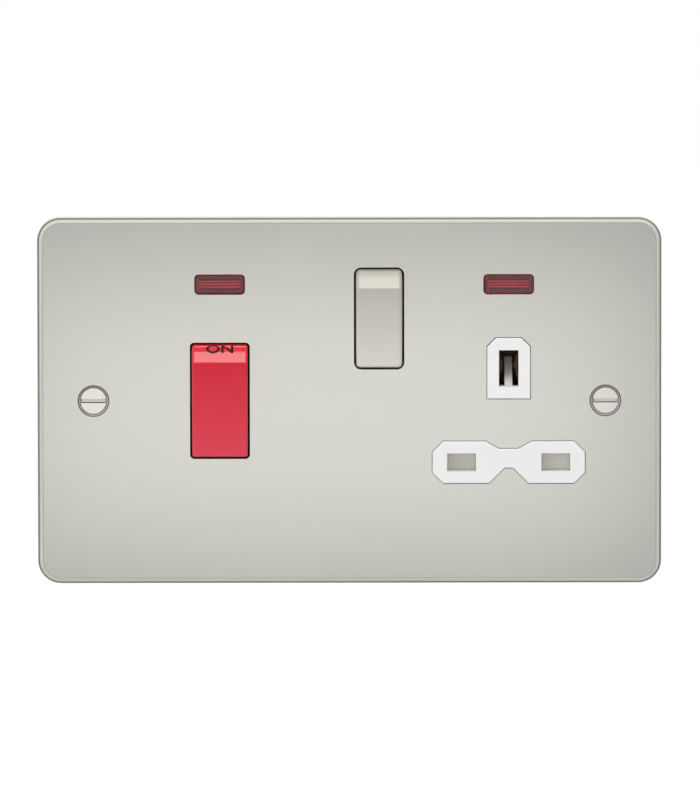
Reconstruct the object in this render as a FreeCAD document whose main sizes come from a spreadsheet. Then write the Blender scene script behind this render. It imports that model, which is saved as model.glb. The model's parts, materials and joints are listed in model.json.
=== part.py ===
import FreeCAD, Part
import math
import os
import re

import Sketcher

# Cooker control unit: a flush two-gang plate with a 45 A cooker switch and a switched 13 A outlet.
# The frame: X to the right as seen by the user, Y into the wall, Z up.
# The origin is on the wall plane, midway between the two fixing screws. Lengths are in mm.

SIZES = [
    ("plate_width", 147.0, "front plate, across"),
    ("plate_height", 86.5, "front plate, upright"),
    ("plate_depth", 4.5, "front plate, wall plane to front face"),
    ("plate_sheet", 1.0, "front plate, sheet thickness"),
    ("plate_corner", 5.5, "front plate, corner radius"),
    ("plate_edge", 1.4, "front plate, radius of the folded front edge"),
    ("fixing_pitch", 120.6, "fixing screws, centre to centre"),
    ("fixing_hole", 2.05, "fixing hole, radius"),
    ("countersink_radius", 3.6, "fixing hole, radius of the countersink's mouth"),
    ("mouth_edge", 0.35, "fixing hole, radius of the rolled edge of its mouth"),
    ("dimple_wall", 0.9, "pressed countersink, wall round its mouth"),
    ("dimple_depth", 1.5, "pressed countersink, depth behind the sheet"),
    ("fixing_thread", 1.75, "fixing screw, thread radius"),
    ("fixing_neck", 1.5, "fixing screw, radius of the plain neck"),
    ("fixing_head", 3.15, "fixing screw, head radius"),
    ("fixing_land", 0.3, "fixing screw, upright land of the head over its cone"),
    ("fixing_bevel", 0.15, "fixing screw, bevel round the head's flat face"),
    ("fixing_length", 25.0, "fixing screw, rim to tip"),
    ("slot_width", 1.0, "screw slots, width"),
    ("slot_depth", 0.7, "screw slots, depth"),
    ("pivot_depth", 2.7, "rocker pivots, depth behind the front face"),
    ("rocker_tilt", 8.2, "rockers, tilt each way from level, degrees"),
    ("side_gap", 0.5, "rockers, gap to the plate at each side"),
    ("end_gap", 0.25, "rockers, gap to the plate at each end"),
    ("rocker_wall", 1.3, "rockers, wall"),
    ("rocker_end_wall", 3.0, "rockers, depth of the solid ends"),
    ("rocker_skirt", 1.2, "rockers, skirt behind the pivot"),
    ("crest_slope", 34.0, "rockers, slope of the crest from the face, degrees"),
    ("crest_crease", 0.4, "rockers, radius of the crease at the foot of the crest"),
    ("trunnion_radius", 1.2, "rockers, trunnion radius"),
    ("trunnion_length", 1.5, "rockers, trunnion length"),
    ("running_gap", 0.05, "radial gap of each pin that turns or slides in a hole"),
    ("cooker_x", -30.5, "cooker switch, centre across"),
    ("cooker_rocker_width", 13.1, "cooker rocker, width"),
    ("cooker_rocker_reach", 13.5, "cooker rocker, pivot to end"),
    ("cooker_rocker_rise", 2.2, "cooker rocker, level face over the front face"),
    ("cooker_crest_foot", 10.1, "cooker rocker, pivot to the foot of the crest"),
    ("cooker_crest", 3.3, "cooker rocker, radius at the top of the crest"),
    ("cooker_edge", 0.6, "cooker rocker, edge radius"),
    ("cooker_corner", 1.0, "cooker rocker aperture, corner radius"),
    ("switch_x", 7.0, "outlet switch, centre across"),
    ("switch_headroom", 13.8, "outlet switch, centre below the base's upper wall"),
    ("switch_rocker_width", 10.85, "outlet rocker, width"),
    ("switch_rocker_reach", 11.8, "outlet rocker, pivot to end"),
    ("switch_rocker_rise", 2.0, "outlet rocker, level face over the front face"),
    ("switch_crest_foot", 8.1, "outlet rocker, pivot to the foot of the crest"),
    ("switch_crest", 4.5, "outlet rocker, radius at the top of the crest"),
    ("switch_edge", 1.0, "outlet rocker, edge radius"),
    ("switch_corner", 1.7, "outlet rocker aperture, corner radius"),
    ("plunger_radius", 1.6, "plungers, radius"),
    ("plunger_nose", 1.4, "plungers, bevel of the tip"),
    ("plunger_tail", 2.0, "plungers, pivot to the spring end"),
    ("tube_wall", 0.9, "plunger tubes, wall"),
    ("tube_length", 6.5, "plunger tubes, pivot to the open end"),
    ("tube_floor", 0.8, "plunger tubes, floor under the spring"),
    ("wire_radius", 0.2, "springs, wire radius"),
    ("spring_turns", 5.0, "springs, turns"),
    ("pole_spread", 3.4, "cooker poles, either side of the switch centre"),
    ("arm_width", 4.6, "contact arms, width"),
    ("arm_thickness", 1.2, "contact arms, thickness"),
    ("arm_reach", 10.8, "contact arms, fulcrum to the contact end"),
    ("arm_tail", 6.0, "contact arms, fulcrum to the free end"),
    ("arm_on", 4.0, "contact arms, tilt when closed, degrees"),
    ("contact_reach", 9.0, "contact buttons, distance from the fulcrum"),
    ("button_radius", 1.5, "contact buttons, radius"),
    ("button_height", 0.5, "moving contact buttons, height"),
    ("contact_gap", 0.1, "contact buttons, gap left when closed"),
    ("tip_gap", 0.2, "plunger tip to a level arm"),
    ("fulcrum_rise", 1.9, "fulcrum axis over its strip"),
    ("fulcrum_radius", 0.8, "fulcrum ridge, radius"),
    ("fulcrum_web", 1.2, "fulcrum ridge, thickness of its web"),
    ("neon_width", 11.95, "indicator windows, width"),
    ("neon_height", 4.8, "indicator windows, height"),
    ("neon_corner", 1.0, "indicator windows, corner radius"),
    ("neon_headroom", 5.75, "indicator windows, centre below the base's upper wall"),
    ("rib_pitch", 0.65, "lens ribs, pitch"),
    ("rib_depth", 0.5, "lens ribs, depth behind the lens"),
    ("rib_margin", 1.2, "lens ribs, border left plain beside them"),
    ("rib_land", 0.08, "lens ribs, flat between two grooves"),
    ("lens_gap", 0.1, "lenses, gap to the plate"),
    ("lens_proud", 0.2, "lenses, rise over the front face"),
    ("lens_bevel", 0.4, "lenses, edge bevel"),
    ("lens_flange", 1.0, "lenses, flange beyond the window"),
    ("lens_flange_sheet", 0.9, "lenses, flange thickness"),
    ("lamp_radius", 2.0, "neon lamps, radius"),
    ("lamp_length", 9.0, "neon lamps, length"),
    ("lamp_bevel", 0.9, "neon lamps, bevel of the sealed ends"),
    ("lamp_gap", 0.15, "neon lamps, gap to the back of their box"),
    ("lamp_box_wall", 1.0, "lamp boxes, wall"),
    ("lamp_box_depth", 4.3, "lamp boxes, depth behind the liner"),
    ("lead_radius", 0.3, "neon leads, radius"),
    ("lead_gap", 0.3, "neon leads, gap where they pass a wall"),
    ("lead_layer", 4.0, "neon leads, depth of their upright run"),
    ("resistor_radius", 0.9, "neon resistors, radius"),
    ("resistor_length", 6.0, "neon resistors, length"),
    ("socket_x", 37.5, "outlet, centre across"),
    ("pins_z", -14.6, "outlet, height of the line pins"),
    ("pin_spread", 22.2, "outlet, line pins centre to centre"),
    ("earth_rise", 22.2, "outlet, earth pin over the line pins"),
    ("line_slot_width", 6.8, "line slots, width"),
    ("line_slot_height", 4.3, "line slots, height"),
    ("earth_slot_width", 4.6, "earth slot, width"),
    ("earth_slot_height", 8.6, "earth slot, height"),
    ("bow_width", 35.9, "line insert, width"),
    ("bow_height", 9.9, "line insert, height"),
    ("bow_chamfer", 2.5, "line insert, corner chamfer"),
    ("top_notch_depth", 1.75, "line insert, depth of the upper notch"),
    ("top_notch_mouth", 5.4, "line insert, half mouth of the upper notch"),
    ("top_notch_floor", 2.3, "line insert, half floor of the upper notch"),
    ("low_notch_depth", 3.65, "line insert, depth of the lower notch"),
    ("low_notch_mouth", 4.65, "line insert, half mouth of the lower notch"),
    ("low_notch_floor", 0.95, "line insert, half floor of the lower notch"),
    ("earth_insert_width", 10.1, "earth insert, width"),
    ("earth_insert_height", 14.3, "earth insert, height"),
    ("earth_insert_chamfer", 2.05, "earth insert, chamfer of the upper corners"),
    ("insert_proud", 0.4, "inserts, rise over the front face"),
    ("insert_gap", 0.18, "inserts, gap to the plate"),
    ("insert_edge", 0.2, "inserts, edge radius"),
    ("liner", 2.0, "front moulding, liner thickness"),
    ("liner_gap", 0.3, "front moulding, gap inside the plate's rim"),
    ("socket_wall", 4.0, "front moulding, insert face to the shutter side"),
    ("socket_margin", 1.0, "front moulding, thick wall beyond the slots"),
    ("well_wall", 1.2, "front moulding, walls of the rocker wells"),
    ("well_depth", 3.7, "front moulding, depth of the wells behind the liner"),
    ("column_left", -50.0, "case screws, left pair across"),
    ("column_middle", -8.0, "case screws, middle pair across"),
    ("column_right", 50.0, "case screws, right pair across"),
    ("column_z", 29.0, "case screws, distance above and below the centre"),
    ("column_radius", 3.0, "case screw columns, radius"),
    ("stud_radius", 2.3, "plate studs, radius"),
    ("stud_gap", 0.15, "plate studs, gap to the liner"),
    ("case_thread", 1.2, "case screws, thread radius"),
    ("case_head", 2.4, "case screws, head radius"),
    ("case_head_height", 2.0, "case screws, head height"),
    ("case_head_depth", 5.0, "case screws, head seat below the rear face"),
    ("case_clearance", 0.3, "case screws, radial clearance in the columns"),
    ("base_width", 111.0, "rear moulding, width"),
    ("base_height", 70.0, "rear moulding, height"),
    ("base_depth", 20.5, "rear moulding, wall plane to rear face"),
    ("base_wall", 1.8, "rear moulding, wall"),
    ("base_floor", 2.0, "rear moulding, floor"),
    ("base_corner", 3.0, "rear moulding, corner radius"),
    ("base_edge", 0.8, "rear moulding, radius of its rear edge"),
    ("pedestal", 4.3, "rear moulding, height of the strip beds"),
    ("barrier", 1.0, "rear moulding, thickness of the barrier between poles"),
    ("barrier_top", 6.8, "rear moulding, front edge of the barrier"),
    ("alcove_gap", 0.5, "terminal alcoves, gap beside the block"),
    ("alcove_wall", 1.2, "terminal alcoves, wall"),
    ("terminal_spread", 9.5, "line terminals, either side of the switch centre"),
    ("terminal_width", 9.0, "line terminals, block width"),
    ("terminal_depth", 10.0, "terminals, block depth"),
    ("terminal_height", 10.0, "terminals, block height"),
    ("terminal_inset", 0.5, "terminals, outer face inside the moulding's edge"),
    ("terminal_recess", 2.2, "terminals, rear face below the rear face of the base"),
    ("terminal_bore", 3.3, "line terminals, bore radius"),
    ("bore_depth", 9.0, "terminals, bore depth"),
    ("bore_skin", 0.7, "terminals, metal in front of the bore"),
    ("clamp_thread", 2.0, "line terminal screws, thread radius"),
    ("clamp_head", 3.2, "line terminal screws, head radius"),
    ("clamp_head_height", 1.5, "terminal screws, head height"),
    ("clamp_lift", 0.3, "terminal screws, head lifted off the block"),
    ("clamp_clear", 0.2, "terminal screws, tip clear of the bore"),
    ("earth_x", 14.0, "earth terminal, centre across"),
    ("earth_block_width", 18.0, "earth terminal, block width"),
    ("earth_bore", 2.6, "earth terminal, bore radius"),
    ("earth_bore_spread", 4.4, "earth terminal, bores either side of its centre"),
    ("earth_clamp_thread", 1.6, "earth terminal screws, thread radius"),
    ("earth_clamp_head", 2.6, "earth terminal screws, head radius"),
    ("strip", 1.0, "contact strips, thickness"),
    ("strip_width", 5.0, "contact strips under the poles, width"),
    ("foot_width", 4.0, "contact strips, width of the feet and side runs"),
    ("foot_offset", 4.5, "contact strips, foot edge from the terminal block"),
    ("tail_width", 6.0, "contact strips, width at the terminals"),
    ("leg_width", 3.0, "outlet live strip, width of its upright leg"),
    ("strip_gap", 0.3, "contact strips, gap where they pass a wall"),
    ("link_layer", 8.2, "neutral link, depth of its front face"),
    ("link_left", 7.5, "neutral link, left leg from the cooker centre"),
    ("link_tab", 2.9, "neutral contact, tab beyond the clip on its left"),
    ("lead_tab", 4.6, "neutral contact, tab beyond the clip on its right"),
    ("leaf", 0.8, "pin clips, leaf thickness"),
    ("leaf_width", 6.0, "line clips, width"),
    ("leaf_front", 5.0, "pin clips, depth of the leaf tips"),
    ("leaf_throat", 9.0, "pin clips, depth of the throat"),
    ("leaf_root", 2.6, "line clips, half height of the root"),
    ("leaf_flare", 1.2, "pin clips, flare from throat to tip"),
    ("line_throat", 3.3, "line clips, throat"),
    ("earth_throat", 2.4, "earth clip, throat"),
    ("earth_root", 2.6, "earth clip, half width of the root"),
    ("earth_clip_top", 4.9, "earth clip, pin centre to the bridge"),
    ("earth_clip_low", 4.0, "earth clip, pin centre to the lower tips"),
    ("finger_width", 3.0, "earth finger, width"),
    ("finger_lift", 0.6, "earth finger, height over the earth insert"),
    ("shutter_thickness", 1.8, "shutter, thickness"),
    ("shutter_travel", 6.2, "shutter, travel"),
    ("shutter_cover", 0.5, "shutter, cover beyond the slots"),
    ("slide_gap", 0.3, "shutter, gap to its guides"),
    ("stem_width", 5.0, "shutter, stem width"),
    ("ramp_width", 1.8, "shutter, ramp width"),
    ("ramp_back", 5.0, "shutter, depth of the ramp's top"),
    ("ramp_land", 1.0, "shutter, land behind the ramp"),
    ("ramp_foot", 5.3, "shutter, ramp body below the earth slot"),
    ("ramp_spare", 0.1, "shutter, ramp height over its travel"),
    ("rail_width", 1.5, "shutter guides, rail width"),
    ("rail_lip", 1.0, "shutter guides, lip thickness"),
    ("rail_length", 11.0, "shutter guides, rail length"),
    ("shutter_stop", 0.1, "shutter guides, gap at the upper stop"),
    ("coil_radius", 1.15, "shutter spring, mean radius"),
    ("coil_y", 0.7, "shutter spring, depth of its axis"),
    ("coil_length", 12.0, "shutter spring, length"),
    ("spigot_radius", 0.75, "shutter spring, radius of its spigot"),
    ("spigot_length", 2.5, "shutter spring, length of its spigot"),
    ("shelf", 1.4, "shutter spring shelf, thickness"),
    ("shelf_depth", 3.0, "shutter spring shelf, depth of its rear edge"),
]

# Places worked out from the sizes above.
PLACES = {
    "front_y": "-plate_depth",
    "plate_back": "front_y + plate_sheet",
    "liner_back": "plate_back + liner",
    "insert_front": "front_y - insert_proud",
    "socket_back": "insert_front + socket_wall",
    "well_back": "liner_back + well_depth",
    "lamp_back": "liner_back + lamp_box_depth",
    "lamp_floor": "lamp_back - lamp_box_wall",
    "lamp_y": "lamp_floor - lamp_gap - lamp_radius",
    "lead_spread": "lamp_length / 2 + lead_radius",
    "pivot_y": "front_y + pivot_depth",
    "floor_y": "base_depth - base_floor",
    "upper_wall": "base_height / 2 - base_wall",
    "switch_z": "upper_wall - switch_headroom",
    "neon_z": "upper_wall - neon_headroom",
    "strip_back": "floor_y - pedestal",
    "strip_front": "strip_back - strip",
    "fulcrum_y": "strip_front - fulcrum_rise",
    "plunger_reach": "fulcrum_y - arm_thickness - tip_gap - pivot_y",
    "fixed_button": "fulcrum_rise - button_height * cos(arm_on)"
                    " - (contact_reach + button_radius) * sin(arm_on) - contact_gap",
    "earth_z": "pins_z + earth_rise",
    "live_x": "socket_x + pin_spread / 2",
    "neutral_x": "socket_x - pin_spread / 2",
    "earth_slot_low": "earth_z - earth_slot_height / 2",
    "earth_insert_top": "earth_z + earth_insert_height / 2",
    "finger_z": "earth_insert_top + finger_lift",
    "clip_top": "earth_z + earth_clip_top",
    "block_outer": "base_height / 2 - terminal_inset",
    "block_inner": "block_outer - terminal_height",
    "block_middle": "(block_inner + block_outer) / 2",
    "block_rear": "base_depth - terminal_recess",
    "block_front": "block_rear - terminal_depth",
    "bore_y": "block_front + bore_skin + terminal_bore",
    "earth_bore_y": "block_front + bore_skin + earth_bore",
    "foot_outer": "block_inner - foot_offset",
    "foot_inner": "foot_outer - foot_width",
    "foot_middle": "foot_outer - foot_width / 2",
    "live_pole": "cooker_x + pole_spread",
    "neutral_pole": "cooker_x - pole_spread",
    "live_block": "cooker_x + terminal_spread",
    "neutral_block": "cooker_x - terminal_spread",
    "shutter_front": "socket_back + slide_gap",
    "shutter_back": "shutter_front + shutter_thickness",
    "blade_half": "line_slot_height / 2 + shutter_cover",
    "blade_top": "pins_z + blade_half",
    "blade_low": "pins_z - blade_half",
    "blade_reach": "pin_spread / 2 + line_slot_width / 2 + shutter_cover",
    "shelf_top": "blade_low - coil_length",
    "link_back": "link_layer + strip",
    "head_seat": "base_depth - case_head_depth",
}

ALIASES = {alias for alias, value, note in SIZES}
WORD = re.compile(r"[a-z][a-z_]*")
NORMALS = {"XY_Plane": 1, "XZ_Plane": -1, "YZ_Plane": 1}

doc = FreeCAD.newDocument("cooker_control_unit")
sheet = doc.addObject("Spreadsheet::Sheet", "dim")
for row, (alias, value, note) in enumerate(SIZES, start=1):
    sheet.set(f"A{row}", note)
    sheet.set(f"B{row}", str(value))
    sheet.setAlias(f"B{row}", alias)
doc.recompute()


def formula(text):
    """Write a formula of sizes and places in terms of the sheet's cells."""
    def swap(match):
        word = match.group()
        if word in PLACES:
            return f"({formula(PLACES[word])})"
        return f"dim.{word}" if word in ALIASES else word
    return WORD.sub(swap, str(text))


def number(text):
    return float(sheet.evalExpression(formula(text)))


def bind(target, path, text):
    target.setExpression(path, formula(text))


def new_body(name):
    body = doc.addObject("PartDesign::Body", name)
    body.Label = name
    return body


# Outlines: a list of corners, a rounded rectangle as a dict, or a circle as a tuple.
def rect(left, right, low, high):
    return [(left, low), (right, low), (right, high), (left, high)]


def centred(across, upright, width, height):
    left, right = f"{across} - ({width}) / 2", f"{across} + ({width}) / 2"
    low, high = f"{upright} - ({height}) / 2", f"{upright} + ({height}) / 2"
    return rect(left, right, low, high)


def rounded(across, upright, width, height, radius):
    return {"corners": centred(across, upright, width, height), "radius": radius}


def bound_constraint(drawing, constraint, text):
    index = drawing.addConstraint(constraint)
    bind(drawing, f"Constraints[{index}]", text)


def draw_polygon(drawing, corners):
    points = [FreeCAD.Vector(number(u), number(v), 0) for u, v in corners]
    first = drawing.GeometryCount
    count = len(points)
    for i in range(count):
        drawing.addGeometry(Part.LineSegment(points[i], points[(i + 1) % count]), False)
    for i in range(count):
        following = first + (i + 1) % count
        drawing.addConstraint(Sketcher.Constraint("Coincident", first + i, 2, following, 1))
    for i, (u, v) in enumerate(corners):
        across = Sketcher.Constraint("DistanceX", first + i, 1, points[i].x)
        bound_constraint(drawing, across, u)
        upright = Sketcher.Constraint("DistanceY", first + i, 1, points[i].y)
        bound_constraint(drawing, upright, v)


def draw_circle(drawing, u, v, radius):
    centre = FreeCAD.Vector(number(u), number(v), 0)
    size = number(radius)
    circle = Part.Circle(centre, FreeCAD.Vector(0, 0, 1), size)
    index = drawing.addGeometry(circle, False)
    bound_constraint(drawing, Sketcher.Constraint("Radius", index, size), radius)
    bound_constraint(drawing, Sketcher.Constraint("DistanceX", index, 3, centre.x), u)
    bound_constraint(drawing, Sketcher.Constraint("DistanceY", index, 3, centre.y), v)


def draw_rounded(drawing, corners, radius):
    """Four sides, lower one first, and four tangent corner arcs."""
    size = number(radius)
    left, low = (number(text) for text in corners[0])
    right, high = (number(text) for text in corners[2])
    ends = [
        ((left + size, low), (right - size, low)),
        ((right, low + size), (right, high - size)),
        ((right - size, high), (left + size, high)),
        ((left, high - size), (left, low + size)),
    ]
    centres = [
        (right - size, low + size),
        (right - size, high - size),
        (left + size, high - size),
        (left + size, low + size),
    ]
    first = drawing.GeometryCount
    for start, end in ends:
        side = Part.LineSegment(FreeCAD.Vector(*start, 0), FreeCAD.Vector(*end, 0))
        drawing.addGeometry(side, False)
    for turn, centre in enumerate(centres):
        circle = Part.Circle(FreeCAD.Vector(*centre, 0), FreeCAD.Vector(0, 0, 1), size)
        begin = (turn - 1) * math.pi / 2
        drawing.addGeometry(Part.ArcOfCircle(circle, begin, begin + math.pi / 2), False)
    for i in range(4):
        side, arc, following = first + i, first + 4 + i, first + (i + 1) % 4
        drawing.addConstraint(Sketcher.Constraint("Tangent", side, 2, arc, 1))
        drawing.addConstraint(Sketcher.Constraint("Tangent", arc, 2, following, 1))
        level = "Horizontal" if i % 2 == 0 else "Vertical"
        drawing.addConstraint(Sketcher.Constraint(level, side))
        bound_constraint(drawing, Sketcher.Constraint("Radius", arc, size), radius)
    sides = [("DistanceY", low, corners[0][1]), ("DistanceX", right, corners[2][0]),
             ("DistanceY", high, corners[2][1]), ("DistanceX", left, corners[0][0])]
    for i, (kind, value, text) in enumerate(sides):
        bound_constraint(drawing, Sketcher.Constraint(kind, first + i, 1, value), text)


def sketch(body, plane, height, outlines):
    drawing = body.newObject("Sketcher::SketchObject", "outline")
    origin = next(item for item in body.Origin.OriginFeatures if item.Role == plane)
    drawing.AttachmentSupport = [(origin, "")]
    drawing.MapMode = "FlatFace"
    bind(drawing, "AttachmentOffset.Base.z", height)
    for outline in outlines:
        if isinstance(outline, tuple):
            draw_circle(drawing, *outline)
        elif isinstance(outline, dict):
            draw_rounded(drawing, outline["corners"], outline["radius"])
        else:
            draw_polygon(drawing, outline)
    return drawing


def pad(body, plane, outlines, low, high):
    """Add the outlines as prisms between two places on the plane's normal axis."""
    height = low if NORMALS[plane] > 0 else f"-({high})"
    feature = body.newObject("PartDesign::Pad", "pad")
    feature.Profile = sketch(body, plane, height, outlines)
    bind(feature, "Length", f"({high}) - ({low})")
    return feature


def cut(body, plane, outlines, low, high):
    """Remove the outlines as prisms between two places on the plane's normal axis."""
    height = high if NORMALS[plane] > 0 else f"-({low})"
    feature = body.newObject("PartDesign::Pocket", "pocket")
    feature.Profile = sketch(body, plane, height, outlines)
    bind(feature, "Length", f"({high}) - ({low})")
    return feature


def turn(body, plane, axis, profile):
    """Turn a profile about the sketch's own upright or level axis."""
    drawing = sketch(body, plane, "0", [profile])
    feature = body.newObject("PartDesign::Revolution", "turning")
    feature.Profile = drawing
    feature.ReferenceAxis = (drawing, [axis])
    feature.Angle = 360
    return feature


def dress(body, kind, value, path, test):
    """Round or bevel the edges of the body so far that pass a test."""
    doc.recompute()
    base = body.Tip
    names = [f"Edge{i}" for i, edge in enumerate(base.Shape.Edges, start=1) if test(edge)]
    if not names:
        raise ValueError(f"no edges to dress on {body.Label}")
    feature = body.newObject(kind, "dressing")
    feature.Base = (base, names)
    bind(feature, path, value)
    return feature


def round_edges(body, radius, test):
    return dress(body, "PartDesign::Fillet", radius, "Radius", test)


def bevel_edges(body, size, test):
    return dress(body, "PartDesign::Chamfer", size, "Size", test)


NEAR = 0.01


def in_plane(axis, text):
    """A test for edges that lie in a plane across one axis."""
    level = number(text)

    def test(edge):
        points = [vertex.Point for vertex in edge.Vertexes] + [edge.CenterOfMass]
        return all(abs(getattr(point, axis) - level) < NEAR for point in points)
    return test


def place(item, x, y, z, tilt="0", towards=1):
    """Set an item at a place, turned about X."""
    axis = FreeCAD.Vector(towards, 0, 0)
    item.Placement = FreeCAD.Placement(FreeCAD.Vector(), FreeCAD.Rotation(axis, 1))
    bind(item, "Placement.Base.x", x)
    bind(item, "Placement.Base.y", y)
    bind(item, "Placement.Base.z", z)
    bind(item, "Placement.Rotation.Angle", tilt)


def group(name, members):
    compound = doc.addObject("Part::Compound", name)
    compound.Label = name
    compound.Links = members
    return compound


XY, XZ, YZ = "XY_Plane", "XZ_Plane", "YZ_Plane"
COLUMNS = [(x, z) for x in ("column_left", "column_middle", "column_right")
           for z in ("column_z", "-column_z")]
FIXINGS = ["fixing_pitch / 2", "-fixing_pitch / 2"]
NEONS = ["cooker_x", "socket_x"]


def aperture(kind, across, upright, corner):
    """The hole for a rocker, in the plate and in the front moulding."""
    width = f"{kind}_rocker_width + 2 * side_gap"
    height = f"2 * ({kind}_rocker_reach + end_gap)"
    return rounded(across, upright, width, height, corner)


APERTURES = [aperture("cooker", "cooker_x", "0", "cooker_corner"),
             aperture("switch", "switch_x", "switch_z", "switch_corner")]


def bow_outline(gap):
    """The line insert: two lobes with a notch above and below the waist."""
    half, tall = f"bow_width / 2 + {gap}", f"bow_height / 2 + {gap}"
    side = "bow_height / 2 - bow_chamfer"
    right = [
        ("low_notch_floor", f"-(bow_height / 2 - low_notch_depth) - {gap}"),
        ("low_notch_mouth", f"-({tall})"),
        ("bow_width / 2 - bow_chamfer", f"-({tall})"),
        (half, f"-({side})"),
        (half, side),
        ("bow_width / 2 - bow_chamfer", tall),
        ("top_notch_mouth", tall),
        ("top_notch_floor", f"bow_height / 2 - top_notch_depth + {gap}"),
    ]
    left = [(f"-({u})", v) for u, v in reversed(right)]
    return [(f"socket_x + {u}", f"pins_z + {v}") for u, v in right + left]


def earth_outline(gap):
    """The earth insert: a shield with its two upper corners cut off."""
    half, tall = f"(earth_insert_width / 2 + {gap})", f"(earth_insert_height / 2 + {gap})"
    return [
        (f"socket_x - {half}", f"earth_z - {tall}"),
        (f"socket_x + {half}", f"earth_z - {tall}"),
        (f"socket_x + {half}", f"earth_z + {tall} - earth_insert_chamfer"),
        (f"socket_x + {half} - earth_insert_chamfer", f"earth_z + {tall}"),
        (f"socket_x - {half} + earth_insert_chamfer", f"earth_z + {tall}"),
        (f"socket_x - {half}", f"earth_z + {tall} - earth_insert_chamfer"),
    ]


SLOTS = [
    centred("live_x", "pins_z", "line_slot_width", "line_slot_height"),
    centred("neutral_x", "pins_z", "line_slot_width", "line_slot_height"),
    centred("socket_x", "earth_z", "earth_slot_width", "earth_slot_height"),
]


def front_plate():
    """A pressed tray: soft front edge, folded rim, apertures, dimples and threaded studs."""
    body = new_body("front_plate")
    pad(body, XZ, [rounded("0", "0", "plate_width", "plate_height", "plate_corner")], "front_y", "0")
    round_edges(body, "plate_edge", in_plane("y", "front_y"))
    hollow = rounded("0", "0", "plate_width - 2 * plate_sheet", "plate_height - 2 * plate_sheet",
                     "plate_corner - plate_sheet")
    cut(body, XZ, [hollow], "plate_back", "0")
    studs = [(x, z, "stud_radius") for x, z in COLUMNS]
    pad(body, XZ, studs, "plate_back", "liner_back")
    dimples = [(x, "0", "countersink_radius + dimple_wall") for x in FIXINGS]
    pad(body, XZ, dimples, "plate_back", "plate_back + dimple_depth")
    windows = [rounded(x, "neon_z", "neon_width", "neon_height", "neon_corner") for x in NEONS]
    inserts = [bow_outline("insert_gap"), earth_outline("insert_gap")]
    cut(body, XZ, APERTURES + windows + inserts, "front_y", "plate_back")
    threads = [(x, z, "case_thread + running_gap") for x, z in COLUMNS]
    cut(body, XZ, threads, "plate_back + stud_gap", "liner_back")
    holes = [(x, "0", "fixing_hole") for x in FIXINGS]
    cut(body, XZ, holes, "front_y", "plate_back + dimple_depth")
    on_face = in_plane("y", "front_y")

    def circles(size):
        radius = number(size)
        return lambda edge: on_face(edge) and abs(getattr(edge.Curve, "Radius", 0) - radius) < NEAR

    bevel_edges(body, "countersink_radius - fixing_hole", circles("fixing_hole"))
    round_edges(body, "mouth_edge", circles("countersink_radius"))
    return body


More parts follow.
